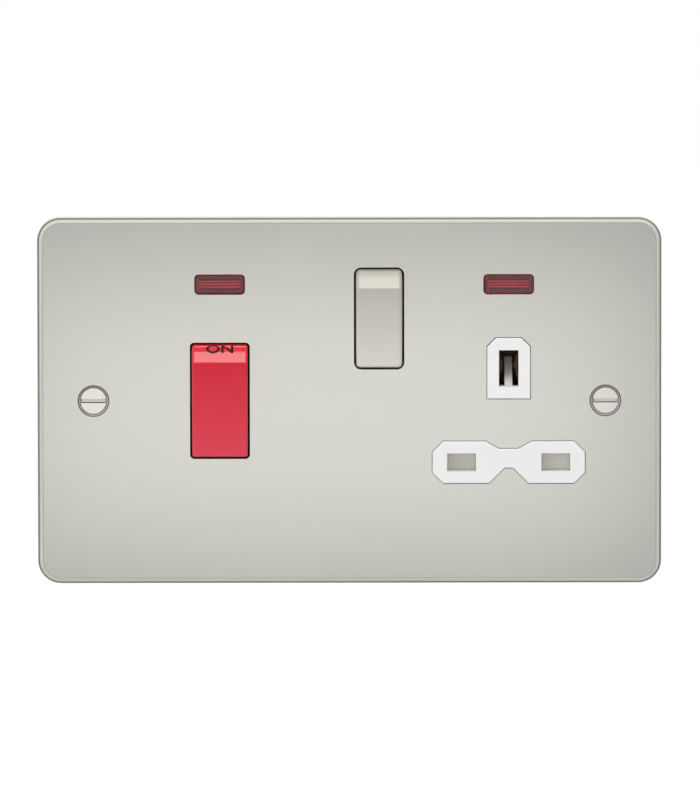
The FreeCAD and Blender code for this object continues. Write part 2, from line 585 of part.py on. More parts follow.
def front_moulding():
    """The white moulding: liner, rocker wells, lamp boxes, slotted inserts and shutter guides."""
    body = new_body("front_moulding")
    margin = "2 * (plate_sheet + liner_gap)"
    liner = rounded("0", "0", f"plate_width - {margin}", f"plate_height - {margin}",
                    "plate_corner - plate_sheet")
    pad(body, XZ, [liner], "plate_back", "liner_back")
    wells = [
        centred("cooker_x", "0", "cooker_rocker_width + 2 * (side_gap + well_wall)",
                "2 * (cooker_rocker_reach + end_gap + well_wall)"),
        centred("switch_x", "switch_z", "switch_rocker_width + 2 * (side_gap + well_wall)",
                "2 * (switch_rocker_reach + end_gap + well_wall)"),
    ]
    pad(body, XZ, wells, "liner_back", "well_back")
    boxes = [centred(x, "neon_z", "neon_width + 2 * lamp_box_wall", "neon_height + 2 * lamp_box_wall")
             for x in NEONS]
    pad(body, XZ, boxes, "liner_back", "lamp_back")
    reach = "pin_spread / 2 + line_slot_width / 2 + socket_margin"
    thick = rect(f"socket_x - ({reach})", f"socket_x + {reach}",
                 "pins_z - line_slot_height / 2 - socket_margin", "finger_z + leaf + socket_margin")
    pad(body, XZ, [thick], "liner_back", "socket_back")
    pad(body, XZ, [bow_outline("0"), earth_outline("0")], "insert_front", "plate_back")
    round_edges(body, "insert_edge", in_plane("y", "insert_front"))
    cut(body, XZ, SLOTS, "insert_front", "socket_back")
    cut(body, XZ, APERTURES, "plate_back", "well_back")
    flange = "2 * (lens_flange + lens_gap)"
    seats = [rounded(x, "neon_z", f"neon_width + {flange}", f"neon_height + {flange}",
                     "neon_corner + lens_flange") for x in NEONS]
    cut(body, XZ, seats, "plate_back", "plate_back + lens_flange_sheet")
    lamps = [centred(x, "neon_z", "neon_width", "neon_height") for x in NEONS]
    cut(body, XZ, lamps, "plate_back", "lamp_floor")
    leads = [(f"{x} {side} lead_spread", "neon_z", "lead_radius + lead_gap")
             for x in NEONS for side in "+-"]
    cut(body, XZ, leads, "lamp_floor", "lamp_back")
    for kind, across, upright in (("cooker", "cooker_x", "0"), ("switch", "switch_x", "switch_z")):
        half = f"{kind}_rocker_width / 2 + side_gap + well_wall"
        fit = "trunnion_radius + running_gap"
        low, high = f"{across} - ({half})", f"{across} + {half}"
        cut(body, YZ, [("pivot_y", upright, fit)], low, high)
        slot = rect("pivot_y", "well_back", f"{upright} - ({fit})", f"{upright} + {fit}")
        cut(body, YZ, [slot], low, high)
    studs = [(x, z, "stud_radius + stud_gap") for x, z in COLUMNS]
    dimples = [(x, "0", "countersink_radius + dimple_wall + liner_gap") for x in FIXINGS]
    cut(body, XZ, studs + dimples, "plate_back", "liner_back")
    finger = rect("socket_x - finger_width / 2 - strip_gap", "socket_x + finger_width / 2 + strip_gap",
                  "finger_z - strip_gap", "finger_z + leaf + strip_gap")
    cut(body, XZ, [finger], "plate_back", "socket_back")
    inner, outer = "stem_width / 2 + slide_gap", "stem_width / 2 + slide_gap + rail_width"
    foot = "blade_top + shutter_stop"
    rails = [rect(f"socket_x {side} ({a})", f"socket_x {side} ({b})", foot, f"{foot} + rail_length")
             for side, a, b in (("+", inner, outer), ("-", outer, inner))]
    lip_start = "shutter_back + slide_gap"
    pad(body, XZ, rails, "socket_back", f"{lip_start} + rail_lip")
    hold = "stem_width / 2 - rail_lip"
    lips = [rect(f"socket_x {side} ({a})", f"socket_x {side} ({b})", foot, f"{foot} + rail_length")
            for side, a, b in (("+", hold, outer), ("-", outer, hold))]
    pad(body, XZ, lips, lip_start, f"{lip_start} + rail_lip")
    shelf = rect("socket_x - stem_width / 2", "socket_x + stem_width / 2", "shelf_top - shelf", "shelf_top")
    pad(body, XZ, [shelf], "liner_back", "shelf_depth")
    return body


ALCOVES = [(x, "terminal_width", side) for x in ("live_block", "neutral_block") for side in (1, -1)]
ALCOVES.append(("earth_x", "earth_block_width", -1))


def upright_span(side, inner, outer):
    """A lower and an upper place, mirrored to the lower half for a side of -1."""
    return (inner, outer) if side > 0 else (f"-({outer})", f"-({inner})")


def rear_moulding():
    """The base: a box with strip beds, screw columns, a barrier and open terminal alcoves."""
    body = new_body("rear_moulding")
    pad(body, XZ, [rounded("0", "0", "base_width", "base_height", "base_corner")],
        "liner_back", "base_depth")
    round_edges(body, "base_edge", in_plane("y", "base_depth"))
    cut(body, XZ, [centred("0", "0", "base_width - 2 * base_wall", "base_height - 2 * base_wall")],
        "liner_back", "floor_y")
    blocks, spaces = [], []
    for x, width, side in ALCOVES:
        half = f"{width} / 2 + alcove_gap"
        low, high = upright_span(side, "block_inner - strip_gap - alcove_wall", "base_height / 2")
        blocks.append(rect(f"{x} - ({half}) - alcove_wall", f"{x} + {half} + alcove_wall", low, high))
        low, high = upright_span(side, "block_inner - strip_gap", "base_height / 2")
        spaces.append(rect(f"{x} - ({half})", f"{x} + {half}", low, high))
    pad(body, XZ, blocks, "block_front - alcove_wall", "floor_y")
    cut(body, XZ, spaces, "block_front", "base_depth")
    ends = "block_inner - strip_gap - alcove_wall"
    beds = [rect(f"{x} - strip_width / 2", f"{x} + strip_width / 2", f"-({ends})", ends)
            for x in ("live_pole", "neutral_pole")]
    beds.append(rect("switch_x - strip_width / 2", "switch_x + strip_width / 2", "-foot_outer",
                     "switch_z + contact_reach + foot_width / 2"))
    beds.append(rect("live_x - leaf_width / 2 - leg_width", "live_x + leaf_width / 2",
                     "pins_z - leaf_root", "pins_z + leaf_root"))
    beds.append(rect("neutral_x - leaf_width / 2", "neutral_x + leaf_width / 2",
                     "pins_z - leaf_root", "pins_z + leaf_root"))
    beds.append(rect("socket_x - earth_root", "socket_x + earth_root", "clip_top",
                     "clip_top + foot_width"))
    pad(body, XZ, beds, "strip_back", "floor_y")
    half = "barrier / 2"
    pad(body, XZ, [rect(f"cooker_x - {half}", f"cooker_x + {half}", "strip_gap - (foot_inner)", ends)],
        "barrier_top", "floor_y")
    prop = "switch_x + strip_width / 2 + barrier"
    pad(body, XZ, [rect(prop, f"{prop} + barrier", "-foot_outer", "-foot_inner")], "link_back", "floor_y")
    pad(body, XZ, [(x, z, "column_radius") for x, z in COLUMNS], "liner_back", "floor_y")
    cut(body, XZ, [(x, z, "case_thread + case_clearance") for x, z in COLUMNS], "liner_back", "base_depth")
    cut(body, XZ, [(x, z, "case_head + case_clearance") for x, z in COLUMNS], "head_seat", "base_depth")
    slot = "tail_width / 2 + strip_gap"
    slits = [rect(f"{x} - ({slot})", f"{x} + {slot}",
                  *upright_span(side, "block_inner - strip_gap - alcove_wall", "block_inner - strip_gap"))
             for x, width, side in ALCOVES]
    cut(body, XZ, slits, "strip_front - strip_gap", "strip_back + strip_gap")
    return body


def rocker(name, kind, across, upright, tube_places):
    """A drum sector turned about its pivot: flat face, sloped crest, hollow back, plunger tubes."""
    body = new_body(name)
    width, reach = f"{kind}_rocker_width", f"{kind}_rocker_reach"
    face = f"(pivot_depth + {kind}_rocker_rise)"
    pad(body, YZ, [("0", "0", reach)], f"-{width} / 2", f"{width} / 2")
    cut(body, YZ, [rect(f"-{reach}", f"-{face}", f"-{reach}", reach)], f"-{width} / 2", f"{width} / 2")
    cut(body, YZ, [rect("rocker_skirt", reach, f"-{reach}", reach)], f"-{width} / 2", f"{width} / 2")
    crest = f"{kind}_crest_foot"
    slope = [(f"-{face}", crest), (f"-{face} + ({reach} - {crest}) * tan(crest_slope)", reach),
             (f"-{face}", reach)]
    cut(body, YZ, [slope], f"-{width} / 2", f"{width} / 2")
    on_face = in_plane("y", f"-{face}")
    half, skirt, crest_foot = number(f"{width} / 2"), number("rocker_skirt"), number(crest)

    def is_level(edge):
        return abs(edge.CenterOfMass.x) < NEAR

    def on_flank(edge):
        return abs(abs(edge.CenterOfMass.x) - half) < NEAR and edge.CenterOfMass.y < skirt - NEAR

    def on_foot(edge):
        return on_face(edge) and is_level(edge) and edge.CenterOfMass.z < -half

    def on_ridge(edge):
        return is_level(edge) and edge.CenterOfMass.z > crest_foot + NEAR and edge.CenterOfMass.y < -NEAR

    round_edges(body, f"{kind}_crest", on_ridge)
    round_edges(body, "crest_crease", lambda edge: on_face(edge) and is_level(edge)
                and edge.CenterOfMass.z > half)
    round_edges(body, f"{kind}_edge", lambda edge: on_flank(edge) or on_foot(edge))
    inner = f"{reach} - rocker_end_wall"
    cut(body, XZ, [rect(f"-{width} / 2 + rocker_wall", f"{width} / 2 - rocker_wall", f"-({inner})", inner)],
        f"-{face} + rocker_wall", "rocker_skirt")
    tubes = [(x, "0", "plunger_radius + running_gap + tube_wall") for x in tube_places]
    pad(body, XZ, tubes, f"-{face} + rocker_wall", "tube_length")
    bores = [(x, "0", "plunger_radius + running_gap") for x in tube_places]
    cut(body, XZ, bores, f"-{face} + rocker_wall + tube_floor", "tube_length")
    pad(body, YZ, [("0", "0", "trunnion_radius")], f"{width} / 2 - rocker_wall",
        f"{width} / 2 + trunnion_length")
    pad(body, YZ, [("0", "0", "trunnion_radius")], f"-{width} / 2 - trunnion_length",
        f"-{width} / 2 + rocker_wall")
    place(body, across, "pivot_y", upright, "rocker_tilt")
    return body


def plunger(name, across, upright):
    body = new_body(name)
    turn(body, XY, "V_Axis", [("0", "plunger_tail"), ("plunger_radius", "plunger_tail"),
                              ("plunger_radius", "plunger_reach - plunger_nose"),
                              ("plunger_radius - plunger_nose", "plunger_reach"), ("0", "plunger_reach")])
    place(body, across, "pivot_y", upright, "rocker_tilt")
    return body


WIRE_SIDES = 6
STEPS_PER_TURN = 10


def coil(name, mean_radius, length):
    """A compression spring along Y from the origin, its wire drawn as a ruled hexagon."""
    wire, turns = number("wire_radius"), number("spring_turns")
    mean, run = number(mean_radius), number(length) - 2 * wire
    sections = []
    steps = round(turns * STEPS_PER_TURN)
    for step in range(steps + 1):
        angle = 2 * math.pi * step / STEPS_PER_TURN
        outward = FreeCAD.Vector(math.cos(angle), 0, math.sin(angle))
        centre = outward * mean + FreeCAD.Vector(0, wire + run * step / steps, 0)
        corners = []
        for side in range(WIRE_SIDES):
            around = 2 * math.pi * side / WIRE_SIDES
            corners.append(centre + outward * wire * math.cos(around)
                           + FreeCAD.Vector(0, wire * math.sin(around), 0))
        sections.append(Part.makePolygon(corners + corners[:1]))
    spring = doc.addObject("Part::Feature", name)
    spring.Label = name
    spring.Shape = Part.makeLoft(sections, True, True)
    return spring


def plunger_spring(name, kind, across, upright):
    start = f"-(pivot_depth + {kind}_rocker_rise) + rocker_wall + tube_floor"
    spring = coil(name, "plunger_radius - 2 * wire_radius", f"plunger_tail - ({start})")
    shift = number(start)
    tilt = math.radians(number("rocker_tilt"))
    base = FreeCAD.Vector(number(across), number("pivot_y") + shift * math.cos(tilt),
                          number(upright) + shift * math.sin(tilt))
    turning = FreeCAD.Rotation(FreeCAD.Vector(1, 0, 0), number("rocker_tilt"))
    spring.Placement = FreeCAD.Placement(base, turning)
    return spring


def contact_arm(name, across, upright):
    """A see-saw arm with a groove on its fulcrum and a contact button at its upper end."""
    body = new_body(name)
    half = "arm_width / 2"
    pad(body, XZ, [rect(f"-{half}", half, "-arm_tail", "arm_reach")], "-arm_thickness", "0")
    pad(body, XZ, [("0", "contact_reach", "button_radius")], "0", "button_height")
    cut(body, YZ, [("0", "0", "fulcrum_radius + running_gap")], f"-{half}", half)
    place(body, across, "fulcrum_y", upright, "arm_on", -1)
    return body


def fulcrum(body, across, upright):
    half = "arm_width / 2"
    web = rect("fulcrum_y", "strip_front", f"{upright} - fulcrum_web / 2", f"{upright} + fulcrum_web / 2")
    pad(body, YZ, [web], f"{across} - {half}", f"{across} + {half}")
    pad(body, YZ, [("fulcrum_y", upright, "fulcrum_radius")], f"{across} - {half}", f"{across} + {half}")


def fixed_contact(body, across, upright):
    pad(body, XZ, [(across, f"{upright} + contact_reach", "button_radius")],
        "strip_front - (fixed_button)", "strip_front")


def terminal_block(body, centre, width, bores, bore, bore_y, thread, side):
    """A block with cable bores from its outer face and a threaded hole into each from the rear."""
    low, high = upright_span(side, "block_inner", "block_outer")
    pad(body, XZ, [rect(f"{centre} - {width} / 2", f"{centre} + {width} / 2", low, high)],
        "block_front", "block_rear")
    low, high = upright_span(side, "block_outer - bore_depth", "block_outer")
    for x in bores:
        cut(body, XY, [(x, bore_y, bore)], low, high)
        middle = "block_middle" if side > 0 else "-block_middle"
        cut(body, XZ, [(x, middle, f"{thread} + running_gap")], bore_y, "block_rear")


def line_terminal(name, kind, side):
    """A line terminal with its strip: a foot, and a bar to the fulcrum or the fixed contact."""
    body = new_body(name)
    block, pole = f"{kind}_block", f"{kind}_pole"
    terminal_block(body, block, "terminal_width", [block], "terminal_bore", "bore_y", "clamp_thread", side)
    half, tail = "strip_width / 2", "tail_width / 2"
    low, high = upright_span(side, "foot_inner", "block_inner")
    pad(body, XZ, [rect(f"{block} - {tail}", f"{block} + {tail}", low, high)], "strip_front", "strip_back")
    across = [f"{pole} - {half}", f"{block} + {tail}"]
    if kind == "neutral":
        across = [f"{block} - {tail}", f"{pole} + {half}"]
    low, high = upright_span(side, "foot_inner", "foot_outer")
    pad(body, XZ, [rect(*across, low, high)], "strip_front", "strip_back")
    end = "contact_reach - button_radius - strip" if side > 0 else "-(fulcrum_radius + strip)"
    low, high = upright_span(side, end, "foot_outer")
    pad(body, XZ, [rect(f"{pole} - {half}", f"{pole} + {half}", low, high)], "strip_front", "strip_back")
    if side > 0:
        fixed_contact(body, pole, "0")
    else:
        fulcrum(body, pole, "0")
    return body


def socket_feed_link():
    """The live strip from the supply terminal to the fulcrum of the outlet switch."""
    body = new_body("socket_feed_link")
    half = "strip_width / 2"
    pad(body, XZ, [rect("live_block + tail_width / 2", f"switch_x + {half}", "-foot_outer", "-foot_inner")],
        "strip_front", "strip_back")
    pad(body, XZ, [rect(f"switch_x - {half}", f"switch_x + {half}", "-foot_outer",
                        "switch_z + fulcrum_radius + strip")], "strip_front", "strip_back")
    fulcrum(body, "switch_x", "switch_z")
    return body


def line_clip(body, across):
    """A spring clip for a line pin: two leaves that close to a throat and flare at the tips."""
    lip = "line_throat / 2 + leaf_flare"
    upper = [
        ("strip_back", "leaf_root"),
        ("leaf_throat", "line_throat / 2 + leaf"),
        ("leaf_front", f"{lip} + leaf"),
        ("leaf_front", lip),
        ("leaf_throat", "line_throat / 2"),
        ("strip_front", "leaf_root - leaf"),
    ]
    lower = [(y, f"-({z})") for y, z in reversed(upper)]
    outline = [(y, f"pins_z + {z}") for y, z in upper + lower]
    pad(body, YZ, [outline], f"{across} - leaf_width / 2", f"{across} + leaf_width / 2")


def live_contact():
    """The outlet's live clip, with its strip to the fixed contact of the outlet switch."""
    body = new_body("live_contact")
    line_clip(body, "live_x")
    right = "live_x - leaf_width / 2"
    middle = "switch_z + contact_reach"
    low, high = f"{middle} - foot_width / 2", f"{middle} + foot_width / 2"
    pad(body, XZ, [rect(f"{right} - leg_width", right, "pins_z - leaf_root + leaf", high)],
        "strip_front", "strip_back")
    pad(body, XZ, [rect("switch_x - strip_width / 2", right, low, high)], "strip_front", "strip_back")
    fixed_contact(body, "switch_x", "switch_z")
    return body


def neutral_contact():
    """The outlet's neutral clip, with a tab for the link and one for the neon lead."""
    body = new_body("neutral_contact")
    line_clip(body, "neutral_x")
    left, right = "neutral_x - leaf_width / 2", "neutral_x + leaf_width / 2"
    pad(body, XZ, [rect(f"{left} - link_tab", left, "-foot_outer", "pins_z + leaf_root - leaf")],
        "strip_front", "strip_back")
    pad(body, XZ, [rect(right, f"{right} + lead_tab", "pins_z - leaf_root + leaf",
                        "pins_z + leaf_root - leaf")], "strip_front", "strip_back")
    return body


def neutral_link():
    """A bridge from the supply neutral to the outlet, in front of the live strips."""
    body = new_body("neutral_link")
    left = "cooker_x - link_left"
    right = "neutral_x - leaf_width / 2 - link_tab"
    outline = [(left, "link_layer"), (f"{right} + strip", "link_layer"), (f"{right} + strip", "strip_front"),
               (right, "strip_front"), (right, "link_back"), (f"{left} + strip", "link_back"),
               (f"{left} + strip", "strip_front"), (left, "strip_front")]
    pad(body, XY, [outline], "-foot_outer", "-foot_inner")
    return body


def earth_contact():
    """The outlet's earth clip with its bridge on top, a finger on the plate and a strip to the terminal."""
    body = new_body("earth_contact")
    right = [
        ("earth_root + leaf", "earth_clip_top + leaf"),
        ("earth_throat / 2 + leaf", "0"),
        ("earth_throat / 2 + leaf_flare + leaf", "-earth_clip_low"),
        ("earth_throat / 2 + leaf_flare", "-earth_clip_low"),
        ("earth_throat / 2", "0"),
        ("earth_root", "earth_clip_top"),
    ]
    left = [(f"-({x})", z) for x, z in reversed(right)]
    outline = [(f"socket_x + {x}", f"earth_z + {z}") for x, z in right + left]
    pad(body, XZ, [outline], "leaf_front", "strip_front")
    half = "foot_width / 2"
    top = "clip_top + foot_width"
    pad(body, XZ, [rect(f"earth_x - {half}", "socket_x + earth_root", "clip_top", top)],
        "strip_front", "strip_back")
    pad(body, XZ, [rect(f"earth_x - {half}", f"earth_x + {half}", "-block_inner", top)],
        "strip_front", "strip_back")
    across = [f"socket_x {side} finger_width / 2" for side in "-+"]
    pad(body, XZ, [rect(*across, "clip_top", "finger_z + leaf")], "leaf_front", "leaf_front + leaf")
    pad(body, XZ, [rect(*across, "finger_z", "finger_z + leaf")], "plate_back", "leaf_front + leaf")
    return body


def earth_terminal():
    body = new_body("earth_terminal")
    bores = [f"earth_x {side} earth_bore_spread" for side in "+-"]
    terminal_block(body, "earth_x", "earth_block_width", bores, "earth_bore", "earth_bore_y",
                   "earth_clamp_thread", -1)
    return body


def shutter():
    """A blade behind the line slots, a stem between the guides and a ramp behind the earth slot."""
    body = new_body("shutter")
    pad(body, XZ, [rect("socket_x - (blade_reach)", "socket_x + blade_reach", "blade_low", "blade_top")],
        "shutter_front", "shutter_back")
    half = "stem_width / 2"
    pad(body, XZ, [rect(f"socket_x - {half}", f"socket_x + {half}", "blade_low",
                        "earth_slot_low - slide_gap")], "shutter_front", "shutter_back")
    top = "earth_slot_low + shutter_travel + ramp_spare"
    foot = "earth_slot_low - ramp_foot"
    ramp = [("shutter_front", foot), ("shutter_front", "earth_slot_low"), ("ramp_back", top),
            ("ramp_back + ramp_land", top), ("ramp_back + ramp_land", foot)]
    pad(body, YZ, [ramp], "socket_x - ramp_width / 2", "socket_x + ramp_width / 2")
    pad(body, XY, [("socket_x", "coil_y", "spigot_radius")], "blade_low - spigot_length", "blade_low")
    return body


def shutter_spring():
    spring = coil("shutter_spring", "coil_radius", "coil_length")
    upright = FreeCAD.Rotation(FreeCAD.Vector(1, 0, 0), 90)
    base = FreeCAD.Vector(number("socket_x"), number("coil_y"), number("shelf_top"))
    spring.Placement = FreeCAD.Placement(base, upright)
    return spring


LENS_RIBS = 4


def lens(name, across):
    """A flanged window that fills its aperture from behind, with a bevelled face and a ribbed back."""
    body = new_body(name)
    wide, tall = "neon_width - 2 * lens_gap", "neon_height - 2 * lens_gap"
    flange = "2 * lens_flange"
    pad(body, XZ, [rounded(across, "neon_z", f"neon_width + {flange}", f"neon_height + {flange}",
                           "neon_corner + lens_flange - lens_gap")],
        "plate_back", "plate_back + lens_flange_sheet")
    pad(body, XZ, [rounded(across, "neon_z", wide, tall, "neon_corner - lens_gap")],
        "front_y - lens_proud", "plate_back")
    bevel_edges(body, "lens_bevel", in_plane("y", "front_y - lens_proud"))
    back = "plate_back + lens_flange_sheet"
    for step in range(LENS_RIBS):
        valley = f"neon_z + ({step - (LENS_RIBS - 1) / 2}) * rib_pitch"
        mouth = "(rib_pitch - rib_land) / 2"
        groove = [(back, f"{valley} - {mouth}"), (f"{back} - rib_depth", valley),
                  (back, f"{valley} + {mouth}")]
        reach = "(neon_width / 2 - rib_margin)"
        cut(body, YZ, [groove], f"{across} - {reach}", f"{across} + {reach}")
    return body


def lamp(name, across):
    body = new_body(name)
    half = "lamp_length / 2"
    neck = "lamp_radius - lamp_bevel"
    turn(body, XZ, "H_Axis", [(f"-{half}", "0"), (f"-{half}", neck), (f"-{half} + lamp_bevel", "lamp_radius"),
                              (f"{half} - lamp_bevel", "lamp_radius"), (half, neck), (half, "0")])
    place(body, across, "lamp_y", "neon_z")
    return body


TURNS = {"x": FreeCAD.Rotation(FreeCAD.Vector(0, 1, 0), 90),
         "y": FreeCAD.Rotation(FreeCAD.Vector(1, 0, 0), -90),
         "z": FreeCAD.Rotation()}


def rod(axis, start, end, radius):
    """A cylinder along one axis, from a start place to an end place on that axis."""
    item = doc.addObject("Part::Cylinder", "rod")
    item.Placement = FreeCAD.Placement(FreeCAD.Vector(), TURNS[axis])
    for name, text in zip("xyz", start):
        bind(item, f"Placement.Base.{name}", text)
    bind(item, "Radius", radius)
    bind(item, "Height", f"({end}) - ({start['xyz'.index(axis)]})")
    return item


def fused(name, members):
    item = doc.addObject("Part::MultiFuse", name)
    item.Label = name
    item.Shapes = members
    return item


def stepped_lead(across, foot):
    """A lead straight back from a lamp, down a run and back again to a strip."""
    bend = "lead_radius"
    return [
        rod("y", (across, "lamp_y", "neon_z"), f"lead_layer + {bend}", "lead_radius"),
        rod("z", (across, "lead_layer", f"{foot} - {bend}"), f"neon_z + {bend}", "lead_radius"),
        rod("y", (across, f"lead_layer - {bend}", foot), "strip_front", "lead_radius"),
    ]


def cooker_neon_resistor():
    across = "cooker_x + lead_spread"
    middle = "(neon_z + foot_middle) / 2"
    can = rod("z", (across, "lead_layer", f"{middle} - resistor_length / 2"),
              f"{middle} + resistor_length / 2", "resistor_radius")
    return fused("cooker_neon_resistor", stepped_lead(across, "foot_middle") + [can])


def socket_neon_resistor():
    across = "socket_x + lead_spread"
    middle = "(lamp_back + strip_front) / 2"
    lead = rod("y", (across, "lamp_y", "neon_z"), "strip_front", "lead_radius")
    can = rod("y", (across, f"{middle} - resistor_length / 2", "neon_z"),
              f"{middle} + resistor_length / 2", "resistor_radius")
    return fused("socket_neon_resistor", [lead, can])


def slotted_screw(name, profile, slot_face, across, upright, towards_rear):
    """A turned screw along Y with a slot across its head."""
    body = new_body(name)
    turn(body, XY, "V_Axis", profile)
    half = "slot_width / 2"
    reach = max(number(radius) for radius, depth in profile)
    slot = rect(f"-{reach}", f"{reach}", f"-{half}", half)
    low, high = f"{slot_face} - slot_depth", f"{slot_face}"
    if not towards_rear:
        low, high = f"{slot_face}", f"{slot_face} + slot_depth"
    cut(body, XZ, [slot], low, high)
    place(body, across, "0", upright)
    return body


def fixing_screws():
    """Flat countersunk heads that seat in the plate's dimples."""
    rim = "front_y + countersink_radius - fixing_head"
    cone = f"{rim} + fixing_head - fixing_neck"
    face = f"{rim} - fixing_land"
    tip = f"{rim} + fixing_length"
    profile = [("0", face), ("fixing_head - fixing_bevel", face), ("fixing_head", f"{face} + fixing_bevel"),
               ("fixing_head", rim), ("fixing_neck", cone), ("fixing_neck", "liner_back"),
               ("fixing_thread", "liner_back"), ("fixing_thread", f"{tip} - fixing_thread / 2"),
               ("fixing_thread / 2", tip), ("0", tip)]
    return group("fixing_screws", [
        slotted_screw(f"fixing_screw_{i}", profile, face, x, "0", False)
        for i, x in enumerate(FIXINGS, start=1)])


def case_screws():
    tip = "plate_back + 2 * stud_gap"
    profile = [("0", tip), ("case_thread", tip), ("case_thread", "head_seat"), ("case_head", "head_seat"),
               ("case_head", "head_seat + case_head_height"), ("0", "head_seat + case_head_height")]
    return group("case_screws", [
        slotted_screw(f"case_screw_{i}", profile, "(head_seat + case_head_height)", x, z, True)
        for i, (x, z) in enumerate(COLUMNS, start=1)])


def clamp_screws(name, places, thread, head, bore_top):
    """Terminal screws, backed off so that the bores are free."""
    seat = "block_rear + clamp_lift"
    profile = [("0", f"{bore_top} + clamp_clear"), (thread, f"{bore_top} + clamp_clear"), (thread, seat),
               (head, seat), (head, f"{seat} + clamp_head_height"), ("0", f"{seat} + clamp_head_height")]
    return group(name, [
        slotted_screw(f"{name}_{i}", profile, f"({seat} + clamp_head_height)", x, z, True)
        for i, (x, z) in enumerate(places, start=1)])


line_places = [(x, f"{sign}block_middle") for x in ("live_block", "neutral_block") for sign in ("", "-")]
earth_places = [(f"earth_x {side} earth_bore_spread", "-block_middle") for side in "+-"]

parts = [
    front_plate(),
    front_moulding(),
    rear_moulding(),
    fixing_screws(),
    case_screws(),
    rocker("cooker_rocker", "cooker", "cooker_x", "0", ["pole_spread", "-pole_spread"]),
    rocker("socket_rocker", "switch", "switch_x", "switch_z", ["0"]),
    plunger("cooker_live_plunger", "live_pole", "0"),
    plunger("cooker_neutral_plunger", "neutral_pole", "0"),
    plunger("socket_plunger", "switch_x", "switch_z"),
    plunger_spring("cooker_live_spring", "cooker", "live_pole", "0"),
    plunger_spring("cooker_neutral_spring", "cooker", "neutral_pole", "0"),
    plunger_spring("socket_switch_spring", "switch", "switch_x", "switch_z"),
    contact_arm("cooker_live_arm", "live_pole", "0"),
    contact_arm("cooker_neutral_arm", "neutral_pole", "0"),
    contact_arm("socket_arm", "switch_x", "switch_z"),
    line_terminal("live_in_terminal", "live", -1),
    line_terminal("neutral_in_terminal", "neutral", -1),
    line_terminal("live_out_terminal", "live", 1),
    line_terminal("neutral_out_terminal", "neutral", 1),
    clamp_screws("line_terminal_screws", line_places, "clamp_thread", "clamp_head", "bore_y + terminal_bore"),
    socket_feed_link(),
    live_contact(),
    neutral_contact(),
    neutral_link(),
    earth_contact(),
    earth_terminal(),
    clamp_screws("earth_terminal_screws", earth_places, "earth_clamp_thread", "earth_clamp_head",
                 "earth_bore_y + earth_bore"),
    shutter(),
    shutter_spring(),
    lens("cooker_neon_lens", "cooker_x"),
    lens("socket_neon_lens", "socket_x"),
    lamp("cooker_neon_lamp", "cooker_x"),
    lamp("socket_neon_lamp", "socket_x"),
    cooker_neon_resistor(),
    socket_neon_resistor(),
    fused("cooker_neon_lead", stepped_lead("cooker_x - (lead_spread)", "foot_middle")),
    fused("socket_neon_lead", stepped_lead("socket_x - (lead_spread)", "pins_z")),
]
doc.recompute()

faults = [item.Label for item in doc.Objects if "Invalid" in item.State or "Error" in item.State]
faults += [item.Label for item in parts if item.Shape.isNull() or not item.Shape.isValid()]
if faults:
    raise ValueError(f"failed: {faults}")
os.makedirs("parts", exist_ok=True)
for item in parts:
    item.Shape.exportStep(f"parts/{item.Label}.step")
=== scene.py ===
import json
import math

import bmesh
import bpy
from mathutils import Matrix, Vector
from mathutils.bvhtree import BVHTree


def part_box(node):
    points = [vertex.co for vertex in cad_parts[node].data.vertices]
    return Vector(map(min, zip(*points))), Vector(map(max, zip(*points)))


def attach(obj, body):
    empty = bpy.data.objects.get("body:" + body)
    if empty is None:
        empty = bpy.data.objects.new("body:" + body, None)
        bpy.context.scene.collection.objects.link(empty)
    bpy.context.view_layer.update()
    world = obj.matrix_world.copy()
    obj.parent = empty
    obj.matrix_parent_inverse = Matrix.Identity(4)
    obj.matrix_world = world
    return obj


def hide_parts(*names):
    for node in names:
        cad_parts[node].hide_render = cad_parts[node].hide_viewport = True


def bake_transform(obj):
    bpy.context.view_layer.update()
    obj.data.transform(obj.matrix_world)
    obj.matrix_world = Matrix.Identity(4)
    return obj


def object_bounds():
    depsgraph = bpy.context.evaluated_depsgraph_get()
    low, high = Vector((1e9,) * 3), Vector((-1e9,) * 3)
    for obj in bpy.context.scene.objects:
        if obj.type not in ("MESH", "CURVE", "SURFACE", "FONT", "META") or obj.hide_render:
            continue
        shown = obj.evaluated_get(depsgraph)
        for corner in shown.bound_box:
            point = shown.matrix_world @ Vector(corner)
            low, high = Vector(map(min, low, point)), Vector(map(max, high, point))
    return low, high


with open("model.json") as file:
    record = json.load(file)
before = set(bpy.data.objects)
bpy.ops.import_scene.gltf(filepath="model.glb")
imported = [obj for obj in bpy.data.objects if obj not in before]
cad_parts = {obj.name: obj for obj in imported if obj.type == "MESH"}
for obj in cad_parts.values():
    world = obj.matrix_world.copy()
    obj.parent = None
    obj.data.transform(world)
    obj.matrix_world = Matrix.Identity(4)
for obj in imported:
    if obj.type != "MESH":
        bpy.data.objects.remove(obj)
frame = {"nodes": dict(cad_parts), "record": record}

# A flush cooker control unit. Everything is in metres in the part's own frame:
# X to the right as seen by the user, Y into the wall, Z up, wall plane at Y = 0.

MM = 0.001
SCREW_HEAD_RADIUS = 3.15 * MM

nodes = frame["nodes"]
cad_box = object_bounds()
plate_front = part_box("front_plate")[0].y
screw_low, screw_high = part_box("fixing_screws")
screw_face = screw_low.y
screw_x = (screw_high.x - screw_low.x) / 2 - SCREW_HEAD_RADIUS

# How much of a change a ramp lets through, as greys.
NONE, FIFTH, THIRD, FULL = "000000", "808080", "a0a0a0", "ffffff"


def linear(code):
    """An sRGB hex colour as linear RGBA."""
    channels = [int(code[i:i + 2], 16) / 255 for i in (0, 2, 4)]
    return [c / 12.92 if c <= 0.04045 else ((c + 0.055) / 1.055) ** 2.4 for c in channels] + [1.0]


